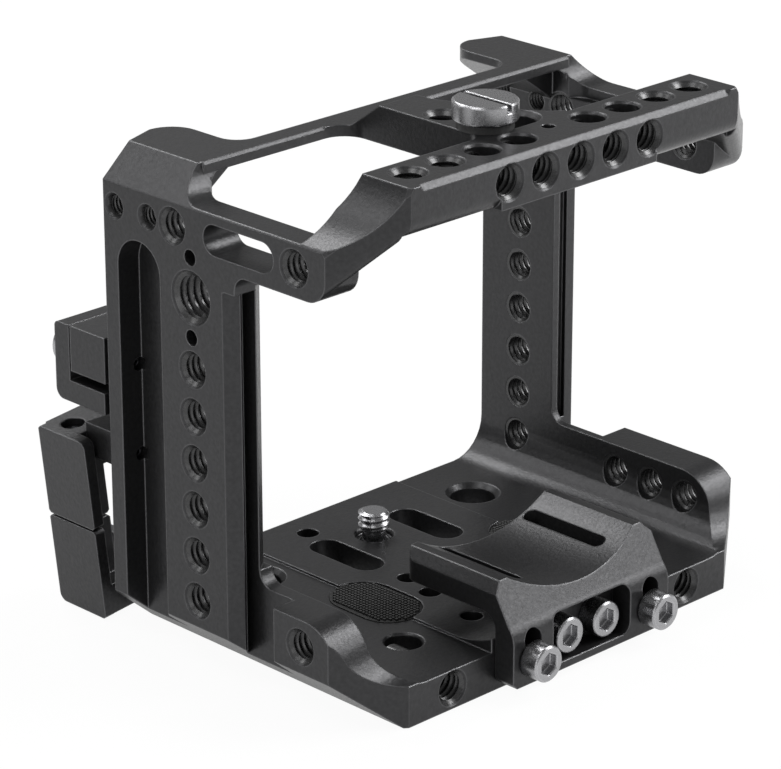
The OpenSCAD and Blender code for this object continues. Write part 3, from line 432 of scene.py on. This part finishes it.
def ridge(name, base_r, crest_r, pitch, low, high, steps=24):
    """A thread's ridge between two heights, as a closed solid. Modelled large, so that its cuts close."""
    measures = (base_r, crest_r, pitch, low, high)
    base_r, crest_r, pitch, low, high = (value * MODEL_SCALE for value in measures)
    half, crest = pitch * RIDGE_FOOT, pitch * RIDGE_CREST
    turns = math.ceil((high - low) / pitch) + 2
    piece = outline(name, [(base_r, -half), (crest_r, -crest), (crest_r, crest), (base_r, half)])
    revolve(piece, steps, pitch, turns)
    bpy.ops.transform.translate(value=(0, 0, low - pitch))
    bpy.ops.object.transform_apply(location=True)
    trim(piece, low, high)
    piece.scale = (1 / MODEL_SCALE, 1 / MODEL_SCALE, 1 / MODEL_SCALE)
    only(piece)
    bpy.ops.object.transform_apply(scale=True)
    return piece


def turned(name, points, steps):
    """A round solid turned about Z from an outline of radii and heights."""
    return revolve(outline(name, points), steps)


def joined(name, parts):
    deselect()
    for part in parts:
        part.select_set(True)
    bpy.context.view_layer.objects.active = parts[0]
    if len(parts) > 1:
        bpy.ops.object.join()
    parts[0].name = name
    parts[0].data.name = name
    return parts[0]


def copies(pattern, places):
    """One copy of a piece at each place, and the pattern itself removed."""
    made = []
    for place in places:
        only(pattern)
        bpy.ops.object.duplicate(linked=False)
        copy = bpy.context.object
        put_at(copy, place)
        made.append(copy)
    bpy.data.objects.remove(pattern)
    return made


def cut_by(piece, cutters):
    """Takes the cutters out of a piece."""
    cutter = joined("cutter", cutters)
    boolean = piece.modifiers.new("cut", "BOOLEAN")
    boolean.operation = "DIFFERENCE"
    boolean.solver = "EXACT"
    boolean.object = cutter
    apply_all(piece)
    bpy.data.objects.remove(cutter)


def slit(piece, size, height):
    """Cuts a box-shaped slit out of a piece, centred at a height."""
    deselect()
    bpy.ops.mesh.primitive_cube_add(size=1, location=(0, 0, height))
    cutter = bpy.context.object
    cutter.scale = size
    bpy.ops.object.transform_apply(location=True, rotation=True, scale=True)
    cut_by(piece, [cutter])


def facing(point, axis):
    """The place of a thing at a point, with its Z along an axis."""
    return Matrix.Translation(point) @ axis.to_track_quat("Z", "Y").to_matrix().to_4x4()


def drill(radius, start, end):
    """A round bar from one point to another."""
    start, end = Vector(start), Vector(end)
    deselect()
    bpy.ops.mesh.primitive_cylinder_add(vertices=32, radius=radius, depth=(end - start).length)
    bar = bpy.context.object
    put_at(bar, facing((start + end) / 2, end - start))
    return bar


def ready(piece, body, material, replaced=()):
    """Hands a finished piece to the frame."""
    if material:
        paint(piece, material)
    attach(piece, body)
    if replaced:
        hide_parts(*replaced)


# Threads

def thread_lining(radius, depth, pitch, length):
    """Lining of a tapped hole from its mouth at height 0 down to -length: a sunk collar and the ridge."""
    outer, inner = radius + LINING_SUNK, radius - depth
    rim = [
        (outer, LINING_SUNK),
        (inner, -COLLAR_DEPTH),
        (inner, -COLLAR_DEPTH - depth * 0.25),
        (outer, -COLLAR_DEPTH - depth),
    ]
    collar = turned("collar", rim, 32)
    helix = ridge("helix", outer, inner, pitch, -length, -COLLAR_DEPTH * 0.9)
    lining = joined("lining", [collar, helix])
    tidy(lining)
    return lining


def hole_place(mount):
    """Where a mount's hole has its mouth, with Z out of it."""
    axis = Vector(mount["axis"]).normalized()
    mouth = Vector(mount["pos_m"]) + axis * mount["dims"]["length_mm"] / 2000
    return facing(mouth, axis)


def tapped(name, mounts, radius, depth, pitch, length):
    """The threads of a group of like holes, as one piece."""
    pattern = thread_lining(radius, depth, pitch, length)
    return joined(name, copies(pattern, [hole_place(mount) for mount in mounts]))


def like(*starts):
    return [mount for name, mount in MOUNTS.items() if name.startswith(starts)]


class CAGE_OT_wall_threads(bpy.types.Operator):
    """Cut the quarter-inch threads of both side walls, the arms and the feet"""
    bl_idname = "cage.wall_threads"
    bl_label = "Wall threads"

    def execute(self, context):
        s = sizes()
        groups = {"left_wall_threads": like("left_column", "left_row_quarter", "left_arm", "left_foot"),
            "right_wall_threads": like("right_column", "right_row_quarter", "right_arm", "right_foot")}
        length = min(mount["dims"]["length_mm"] for mount in like("left_column")) / 1000
        for name, mounts in groups.items():
            piece = tapped(name, mounts, QUARTER_R, s.quarter_depth, s.quarter_pitch, length)
            ready(piece, "frame", "black_thread")
        return {"FINISHED"}


class CAGE_OT_large_thread(bpy.types.Operator):
    """Cut the three-eighths-inch thread of the left wall"""
    bl_idname = "cage.large_thread"
    bl_label = "Large thread"

    def execute(self, context):
        s = sizes()
        mount = MOUNTS["left_three_eighths"]
        dims = mount["dims"]
        piece = tapped("large_thread", [mount], dims["r_mm"] / 1000, s.large_depth, s.large_pitch,
            dims["length_mm"] / 1000)
        ready(piece, "frame", "black_thread")
        return {"FINISHED"}


class CAGE_OT_small_threads(bpy.types.Operator):
    """Cut the small threads of the upper rows"""
    bl_idname = "cage.small_threads"
    bl_label = "Small threads"

    def execute(self, context):
        s = sizes()
        mounts = like("left_row_small", "right_row_small")
        piece = tapped("small_threads", mounts, SMALL_R, s.small_depth, s.small_pitch,
            mounts[0]["dims"]["length_mm"] / 1000)
        ready(piece, "frame", "black_thread")
        return {"FINISHED"}


class CAGE_OT_bar_threads(bpy.types.Operator):
    """Cut the threads of the top bar, where the upright and the level holes cross"""
    bl_idname = "cage.bar_threads"
    bl_label = "Bar threads"

    def execute(self, context):
        s = sizes()
        outer = MOUNTS["bar_top_right_4"]
        fronts = like("bar_front")
        pitch = outer["pos_m"][0] / 4
        tops = []
        for i in (-4, -3, -2, -1, 1, 2, 3, 4):
            place = hole_place(outer)
            place.translation.x = pitch * i
            tops.append(place)
        front_y = hole_place(fronts[0]).translation.y
        front_z = fronts[0]["pos_m"][2]
        clear_r = QUARTER_R * CROSSING_SHARE
        upright_length = outer["dims"]["length_mm"] / 1000
        upright = thread_lining(QUARTER_R, s.quarter_depth, s.quarter_pitch, upright_length)
        piece = joined("bar_top_threads", copies(upright, tops))
        cut_by(piece, [drill(clear_r, (m["pos_m"][0], front_y, front_z),
            (m["pos_m"][0], front_y + BAR_TAP, front_z)) for m in fronts])
        ready(piece, "frame", "black_thread")
        level = thread_lining(QUARTER_R, s.quarter_depth, s.quarter_pitch, BAR_TAP)
        piece = joined("bar_front_threads", copies(level, [hole_place(m) for m in fronts]))
        down = Vector((0, 0, UPRIGHT_REACH))
        cut_by(piece, [drill(clear_r, place.translation, place.translation - down) for place in tops])
        ready(piece, "frame", "black_thread")
        bridge = MOUNTS["bridge_hole"]
        piece = tapped("bridge_thread", [bridge], QUARTER_R, s.quarter_depth, s.quarter_pitch,
            bridge["dims"]["length_mm"] / 1000)
        ready(piece, "frame", "black_thread")
        return {"FINISHED"}


class CAGE_OT_base_threads(bpy.types.Operator):
    """Cut the threads in the front face of the base"""
    bl_idname = "cage.base_threads"
    bl_label = "Base threads"

    def execute(self, context):
        s = sizes()
        for side in ("left", "right"):
            mount = MOUNTS["base_front_" + side]
            piece = tapped("base_thread_" + side, [mount], QUARTER_R, s.quarter_depth, s.quarter_pitch,
                mount["dims"]["length_mm"] / 1000)
            ready(piece, "frame", "black_thread")
        return {"FINISHED"}


# Screws and pads

def screw_thread(name, core_r, low, high, chamfer):
    """A threaded shank from low to high: its core with a chamfered end and the ridge round it."""
    pitch = sizes().quarter_pitch
    side = [(0, low), (core_r, low), (core_r, high - chamfer), (core_r - chamfer, high), (0, high)]
    core = turned("core", side, 32)
    helix = ridge("helix", core_r - RIDGE_SUNK, SHANK_R, pitch, low + chamfer, high - chamfer, 32)
    return joined(name, [core, helix])


class CAGE_OT_top_screw(bpy.types.Operator):
    """Turn the slotted top screw with its neck and thread"""
    bl_idname = "cage.top_screw"
    bl_label = "Top screw"

    def execute(self, context):
        s = sizes()
        low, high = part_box("top_screw")
        axis = Vector(JOINTS["top_screw_turn"]["pos_m"])
        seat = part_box("top_screw_washer")[1].z
        head_r = (high.x - low.x) / 2
        edge = s.screw_edge
        mount = MOUNTS["top_screw_thread"]
        thread_top = mount["pos_m"][2] + mount["dims"]["length_mm"] / 2000
        neck_r = head_r * TOP_NECK
        side = [
            (0, high.z), (head_r - edge, high.z), (head_r, high.z - edge),
            (head_r, seat + edge), (head_r - edge, seat), (neck_r, seat),
            (neck_r, thread_top - edge), (0, thread_top - edge),
        ]
        body = turned("head", side, 96)
        tidy(body)
        slit(body, (TOP_SLOT_W, head_r * 3, TOP_SLOT_DEPTH * 2), high.z)
        shank = screw_thread("shank", QUARTER_R - s.quarter_depth, low.z, thread_top, edge)
        piece = joined("top_screw_turned", [body, shank])
        put_at(piece, Matrix.Translation((axis.x, axis.y, 0)))
        tidy(piece)
        ready(piece, "top_screw", "bright_steel", ["top_screw"])
        return {"FINISHED"}


class CAGE_OT_camera_screw(bpy.types.Operator):
    """Turn the captive camera screw with its slotted head and thread"""
    bl_idname = "cage.camera_screw"
    bl_label = "Camera screw"

    def execute(self, context):
        s = sizes()
        low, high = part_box("camera_screw")
        axis = Vector(JOINTS["camera_screw_turn"]["pos_m"])
        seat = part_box("camera_screw_washer")[0].z
        head_r = (high.x - low.x) / 2
        edge = s.screw_edge
        mount = MOUNTS["camera_screw_thread"]
        thread_low = mount["pos_m"][2] - mount["dims"]["length_mm"] / 2000
        neck_r = head_r * CAMERA_NECK
        side = [
            (0, low.z), (head_r - edge, low.z), (head_r, low.z + edge),
            (head_r, seat - edge / 2), (head_r - edge / 2, seat), (neck_r, seat),
            (neck_r, thread_low + edge), (0, thread_low + edge),
        ]
        body = turned("head", side, 96)
        tidy(body)
        slit(body, (head_r * 3, CAMERA_SLOT_W, CAMERA_SLOT_DEPTH * 2), low.z)
        shank = screw_thread("shank", QUARTER_R - s.quarter_depth, thread_low, high.z, edge)
        piece = joined("camera_screw_turned", [body, shank])
        put_at(piece, Matrix.Translation((axis.x, axis.y, 0)))
        tidy(piece)
        ready(piece, "camera_screw", "bright_steel", ["camera_screw"])
        return {"FINISHED"}


class CAGE_OT_socket_screws(bpy.types.Operator):
    """Turn the four socket screws in the front of the lens support"""
    bl_idname = "cage.socket_screws"
    bl_label = "Socket screws"

    def execute(self, context):
        s = sizes()
        for name in SOCKET_NODES:
            low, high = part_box(name)
            head_r = (high.x - low.x) / 2
            shank_r = head_r * SOCKET_SHANK
            edge = s.screw_edge
            far = low.y - high.y
            seat = -s.socket_head
            side = [
                (0, 0), (head_r - edge, 0), (head_r, -edge), (head_r, seat + edge / 2),
                (head_r - edge / 2, seat), (shank_r, seat), (shank_r, far + edge),
                (shank_r - edge, far), (0, far),
            ]
            body = turned("body", side, 64)
            tidy(body)
            key_r = s.socket_key / math.sqrt(3)
            deselect()
            bpy.ops.mesh.primitive_cylinder_add(vertices=6, radius=key_r, depth=s.socket_depth * 2)
            key = bpy.context.object
            deselect()
            bpy.ops.mesh.primitive_cone_add(vertices=6, radius1=key_r, radius2=key_r + edge * 1.5,
                depth=edge * 1.5)
            mouth = bpy.context.object
            cut_by(body, [key])
            cut_by(body, [mouth])
            middle = Vector(((low.x + high.x) / 2, low.y, (low.z + high.z) / 2))
            put_at(body, Matrix.Translation(middle) @ Matrix.Rotation(math.radians(90), 4, "X"))
            tidy(body)
            piece = joined(name + "_turned", [body])
            ready(piece, "frame", "bright_steel", [name])
        return {"FINISHED"}


def oblong(centre, radius, straight, low, high):
    """A flat piece with two straight sides along Y and round ends."""
    deselect()
    bpy.ops.mesh.primitive_circle_add(vertices=64, radius=radius, fill_type="NGON", location=(0, 0, low))
    piece = bpy.context.object
    bpy.ops.object.transform_apply(location=True)
    edit(piece)
    bpy.ops.mesh.select_mode(type="VERT")
    bpy.ops.mesh.select_all(action="DESELECT")
    mesh = bmesh.from_edit_mesh(piece.data)
    for vertex in mesh.verts:
        vertex.select_set(vertex.co.y > 1e-9)
    bmesh.update_edit_mesh(piece.data)
    bpy.ops.transform.translate(value=(0, straight / 2, 0))
    bpy.ops.mesh.select_all(action="INVERT")
    bpy.ops.transform.translate(value=(0, -straight / 2, 0))
    bpy.ops.mesh.select_all(action="SELECT")
    bpy.ops.mesh.extrude_region_move(TRANSFORM_OT_translate={"value": (0, 0, high - low)})
    bpy.ops.mesh.normals_make_consistent(inside=False)
    leave()
    bevel = piece.modifiers.new("edge", "BEVEL")
    bevel.width = (high - low) * PAD_EDGE
    bevel.segments = 2
    apply_all(piece)
    put_at(piece, Matrix.Translation((*centre, 0)))
    return piece


def lugs(centre, radius, straight, low, high):
    """The raised grid of an oblong pad: a small closed lug in each cell of a grid on the pad."""
    s = sizes()
    cells_x = int(2 * radius / s.pad_cell)
    cells_y = int((2 * radius + straight) / s.pad_cell)
    deselect()
    bpy.ops.mesh.primitive_grid_add(x_subdivisions=cells_x, y_subdivisions=cells_y, size=1,
        location=(0, 0, low))
    piece = bpy.context.object
    piece.scale = (cells_x * s.pad_cell, cells_y * s.pad_cell, 1)
    bpy.ops.object.transform_apply(location=True, rotation=True, scale=True)
    inner = radius - s.pad_cell * PAD_RIM
    edit(piece)
    bpy.ops.mesh.select_mode(type="FACE")
    bpy.ops.mesh.select_all(action="DESELECT")
    mesh = bmesh.from_edit_mesh(piece.data)
    for face in mesh.faces:
        middle = face.calc_center_median()
        past = max(0.0, abs(middle.y) - straight / 2)
        face.select_set(math.hypot(middle.x, past) > inner)
    bmesh.update_edit_mesh(piece.data)
    bpy.ops.mesh.delete(type="FACE")
    bpy.ops.mesh.select_all(action="SELECT")
    bpy.ops.mesh.inset(thickness=s.pad_groove / 2, use_individual=True)
    bpy.ops.mesh.select_all(action="INVERT")
    bpy.ops.mesh.delete(type="FACE")
    bpy.ops.mesh.select_all(action="SELECT")
    bpy.ops.mesh.extrude_region_move(TRANSFORM_OT_translate={"value": (0, 0, high - low)})
    bpy.ops.mesh.select_all(action="SELECT")
    bpy.ops.mesh.normals_make_consistent(inside=False)
    bpy.ops.mesh.select_mode(type="VERT")
    leave()
    put_at(piece, Matrix.Translation((*centre, 0)))
    return piece


class CAGE_OT_rubber_pads(bpy.types.Operator):
    """Mould the two rubber pads with their raised grid"""
    bl_idname = "cage.rubber_pads"
    bl_label = "Rubber pads"

    def execute(self, context):
        s = sizes()
        low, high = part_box("rubber_pads")
        seat = MOUNTS["camera_seat"]["pos_m"]
        radius = high.x - seat[0]
        straight = high.y - low.y - 2 * radius
        top = high.z - s.pad_rise
        parts = []
        for side in (-1, 1):
            centre = (side * seat[0], seat[1])
            parts.append(oblong(centre, radius, straight, low.z, top))
            # The pad body between the lugs gets the painted groove shade; the lugs keep the lighter rubber.
            paint(parts[-1], "groove_shade_rubber")
            parts.append(lugs(centre, radius, straight, top - LUG_SUNK, high.z))
            paint(parts[-1], "black_rubber")
        piece = joined("rubber_pads_moulded", parts)
        only(piece)
        bpy.ops.object.shade_smooth_by_angle(angle=OWN_SMOOTH_ANGLE)
        ready(piece, "frame", None, ["rubber_pads"])
        return {"FINISHED"}


def curve_smoother():
    """A node group that joins a mesh's faces and smooths the ones that meet at a small angle."""
    group = bpy.data.node_groups.new("smooth_curves", "GeometryNodeTree")
    group.interface.new_socket("Geometry", in_out="INPUT", socket_type="NodeSocketGeometry")
    group.interface.new_socket("Geometry", in_out="OUTPUT", socket_type="NodeSocketGeometry")
    start = group.nodes.new("NodeGroupInput")
    weld = group.nodes.new("GeometryNodeMergeByDistance")
    weld.inputs["Distance"].default_value = WELD
    angle = group.nodes.new("GeometryNodeInputMeshEdgeAngle")
    sharp = group.nodes.new("FunctionNodeCompare")
    sharp.data_type = "FLOAT"
    sharp.operation = "GREATER_THAN"
    sharp.inputs["B"].default_value = FRAME_SMOOTH_ANGLE
    shaded = group.nodes.new("GeometryNodeSetMeshNormal")
    shaded.mode = "SHARPNESS"
    shaded.inputs["Remove Custom"].default_value = True
    end = group.nodes.new("NodeGroupOutput")
    group.links.new(start.outputs[0], weld.inputs["Geometry"])
    group.links.new(angle.outputs["Unsigned Angle"], sharp.inputs["A"])
    group.links.new(weld.outputs["Geometry"], shaded.inputs["Mesh"])
    group.links.new(sharp.outputs["Result"], shaded.inputs["Edge Sharpness"])
    group.links.new(shaded.outputs["Mesh"], end.inputs[0])
    return group


class CAGE_OT_milled_parts(bpy.types.Operator):
    """Give the milled and turned parts of the frame their finishes"""
    bl_idname = "cage.milled_parts"
    bl_label = "Milled parts"

    def execute(self, context):
        smoother = curve_smoother()
        for name, node in NODES.items():
            if name in OWN_MESH_NODES:
                continue
            chosen = "black_anodised"
            if name in STEEL_NODES:
                chosen = "bright_steel"
            if name in DARK_NODES:
                chosen = "dark_steel"
            if name in RUBBER_NODES:
                chosen = "black_rubber"
            paint(node, chosen)
            if chosen == "black_anodised":
                node.modifiers.new("smooth_curves", "NODES").node_group = smoother
                weighted = node.modifiers.new("flat_faces", "WEIGHTED_NORMAL")
                weighted.keep_sharp = True
        return {"FINISHED"}


# Stage

def soft_light(name, towards, distance, width, glow):
    """A square lamp that faces the object; glow is how bright its face is."""
    away = Vector(towards).normalized()
    deselect()
    bpy.ops.object.light_add(type="AREA", location=Vector(LAMP_AIM) + away * distance)
    lamp = bpy.context.object
    lamp.name = name
    lamp.rotation_mode = "QUATERNION"
    lamp.rotation_quaternion = away.to_track_quat("Z", "Y")
    lamp.data.shape = "SQUARE"
    lamp.data.size = width
    lamp.data.energy = glow * math.pi * width * width


def seen_white(tree, shader_out, output, lit, seen, slope=(0, 0, 0)):
    """White to the camera, partly white in reflections, and its own shader for the light it gives."""
    path = tree.nodes.new("ShaderNodeLightPath")
    place = tree.nodes.new("ShaderNodeTexCoord")
    along = tree.nodes.new("ShaderNodeVectorMath")
    along.operation = "DOT_PRODUCT"
    along.inputs[1].default_value = slope
    tree.links.new(place.outputs["Object"], along.inputs[0])
    level = tree.nodes.new("ShaderNodeMath")
    level.operation = "ADD"
    level.use_clamp = True
    level.inputs[1].default_value = lit
    tree.links.new(along.outputs["Value"], level.inputs[0])
    either = tree.nodes.new("ShaderNodeMath")
    either.operation = "MAXIMUM"
    tree.links.new(path.outputs["Is Camera Ray"], either.inputs[0])
    scaled = tree.nodes.new("ShaderNodeMath")
    scaled.operation = "MULTIPLY"
    tree.links.new(level.outputs["Value"], scaled.inputs[1])
    tree.links.new(path.outputs["Is Glossy Ray"], scaled.inputs[0])
    tree.links.new(scaled.outputs["Value"], either.inputs[1])
    share = tree.nodes.new("ShaderNodeMath")
    share.operation = "MULTIPLY"
    share.inputs[1].default_value = seen
    tree.links.new(either.outputs["Value"], share.inputs[0])
    is_material = output.bl_idname.endswith("Material")
    glow = tree.nodes.new("ShaderNodeEmission" if is_material else "ShaderNodeBackground")
    glow.inputs["Color"].default_value = (1, 1, 1, 1)
    glow.inputs["Strength"].default_value = 1
    mix = tree.nodes.new("ShaderNodeMixShader")
    tree.links.new(share.outputs["Value"], mix.inputs["Fac"])
    tree.links.new(shader_out, mix.inputs[1])
    tree.links.new(glow.outputs[0], mix.inputs[2])
    tree.links.new(mix.outputs["Shader"], output.inputs["Surface"])


class CAGE_OT_stage(bpy.types.Operator):
    """Set up the white studio, its lights and the camera"""
    bl_idname = "cage.stage"
    bl_label = "Studio"

    def execute(self, context):
        scene = context.scene
        scene.view_settings.view_transform = "Standard"
        world = bpy.data.worlds.new("studio")
        world.use_nodes = True
        scene.world = world
        tree = world.node_tree
        background = tree.nodes["Background"]
        background.inputs["Color"].default_value = (1, 1, 1, 1)
        background.inputs["Strength"].default_value = WORLD_GLOW
        seen_white(tree, background.outputs[0], tree.nodes["World Output"], lit=0.0, seen=1.0)

        deselect()
        bpy.ops.mesh.primitive_plane_add(size=sizes().floor_w, location=(0, 0, CAD_BOX[0][2] - FLOOR_DROP))
        floor = bpy.context.object
        floor.name = "floor"
        material = bpy.data.materials.new("floor")
        material.use_nodes = True
        tree = material.node_tree
        shader = tree.nodes["Principled BSDF"]
        shader.inputs["Base Color"].default_value = (*colours().floor, 1)
        shader.inputs["Roughness"].default_value = 0.9
        shader.inputs["Specular IOR Level"].default_value = 0.0
        seen_white(tree, shader.outputs[0], tree.nodes["Material Output"], FLOOR_LIT, FLOOR_SEEN,
            FLOOR_SLOPE)
        floor.data.materials.append(material)

        for lamp in LAMPS:
            soft_light(*lamp)

        deselect()
        bpy.ops.object.camera_add(location=CAMERA_PLACE)
        camera = context.object
        camera.name = "photo_camera"
        camera.data.sensor_width = SENSOR_W
        camera.data.lens = FOCAL_PX * SENSOR_W / PHOTO_W
        camera.data.clip_start = 0.01
        camera.data.clip_end = 50
        azimuth = math.radians(CAMERA_AZIMUTH)
        elevation = math.radians(CAMERA_ELEVATION)
        roll = math.radians(CAMERA_ROLL)
        back = Vector((math.sin(azimuth) * math.cos(elevation), -math.cos(azimuth) * math.cos(elevation),
            math.sin(elevation)))
        right = Vector((math.cos(azimuth), math.sin(azimuth), 0))
        up = back.cross(right)
        level = Matrix((right, up, back)).transposed()
        camera.rotation_mode = "QUATERNION"
        camera.rotation_quaternion = (level @ Matrix.Rotation(roll, 3, "Z")).to_quaternion()
        scene.camera = camera
        return {"FINISHED"}


class CAGE_PT_panel(bpy.types.Panel):
    """Sizes, colours and steps of the cage"""
    bl_label = "Camera Cage"
    bl_space_type = "VIEW_3D"
    bl_region_type = "UI"
    bl_category = "Cage"

    def draw(self, context):
        layout = self.layout
        for group in (context.scene.cage_sizes, context.scene.cage_colours):
            box = layout.box()
            for name in group.__annotations__:
                box.prop(group, name)
        for step in STEPS:
            layout.operator(step.bl_idname)


STEPS = (CAGE_OT_stage, CAGE_OT_milled_parts, CAGE_OT_wall_threads, CAGE_OT_large_thread,
    CAGE_OT_small_threads, CAGE_OT_bar_threads, CAGE_OT_base_threads, CAGE_OT_top_screw,
    CAGE_OT_camera_screw, CAGE_OT_socket_screws, CAGE_OT_rubber_pads)
CLASSES = (CageSizes, CageColours, *STEPS, CAGE_PT_panel)


def register():
    for cls in CLASSES:
        bpy.utils.register_class(cls)
    bpy.types.Scene.cage_sizes = bpy.props.PointerProperty(type=CageSizes)
    bpy.types.Scene.cage_colours = bpy.props.PointerProperty(type=CageColours)


def unregister():
    del bpy.types.Scene.cage_sizes
    del bpy.types.Scene.cage_colours
    for cls in reversed(CLASSES):
        bpy.utils.unregister_class(cls)


def main():
    register()
    bpy.ops.cage.stage()
    bpy.ops.cage.milled_parts()
    bpy.ops.cage.wall_threads()
    bpy.ops.cage.large_thread()
    bpy.ops.cage.small_threads()
    bpy.ops.cage.bar_threads()
    bpy.ops.cage.base_threads()
    bpy.ops.cage.top_screw()
    bpy.ops.cage.camera_screw()
    bpy.ops.cage.socket_screws()
    bpy.ops.cage.rubber_pads()


if __name__ == "__main__":
    main()
